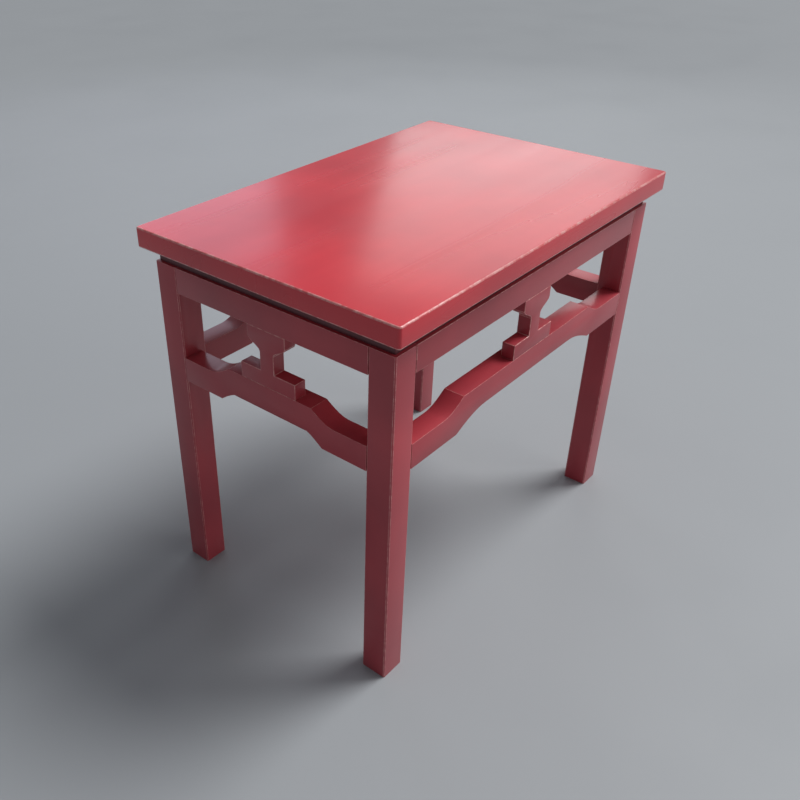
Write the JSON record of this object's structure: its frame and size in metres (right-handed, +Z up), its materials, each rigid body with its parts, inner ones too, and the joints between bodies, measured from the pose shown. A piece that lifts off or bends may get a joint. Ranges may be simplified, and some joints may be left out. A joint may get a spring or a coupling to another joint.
{
  "type": "tea table",
  "caption": "Low red-lacquered tea table with a framed top, recessed waist, square legs, humpback stretchers and short struts.",
  "frame": {"origin": "on the floor, under the middle of the top", "axes": "+Z up, +X along the long side of the top, +Y along the short side"},
  "size_m": [0.6, 0.4, 0.52],
  "materials": {
    "lacquer": "semi-gloss red lacquer",
    "waist_lacquer": "dark red lacquer in the recess",
    "bare_wood": "planed, unfinished"
  },
  "bodies": {
    "root": {"top_frame_front": "lacquer", "top_frame_right": "lacquer", "top_frame_back": "lacquer", "top_frame_left": "lacquer", "top_panel": "lacquer", "panel_batten_left": "bare_wood", "panel_batten_right": "bare_wood", "waist_strip_front": "waist_lacquer", "waist_strip_right": "waist_lacquer", "waist_strip_back": "waist_lacquer", "waist_strip_left": "waist_lacquer", "leg_front_left": "lacquer", "leg_front_right": "lacquer", "leg_back_right": "lacquer", "leg_back_left": "lacquer", "apron_front": "lacquer", "stretcher_front": "lacquer", "strut_front": "lacquer", "apron_right": "lacquer", "stretcher_right": "lacquer", "strut_right": "lacquer", "apron_back": "lacquer", "stretcher_back": "lacquer", "strut_back": "lacquer", "apron_left": "lacquer", "stretcher_left": "lacquer", "strut_left": "lacquer"}
  },
  "joints": []
}
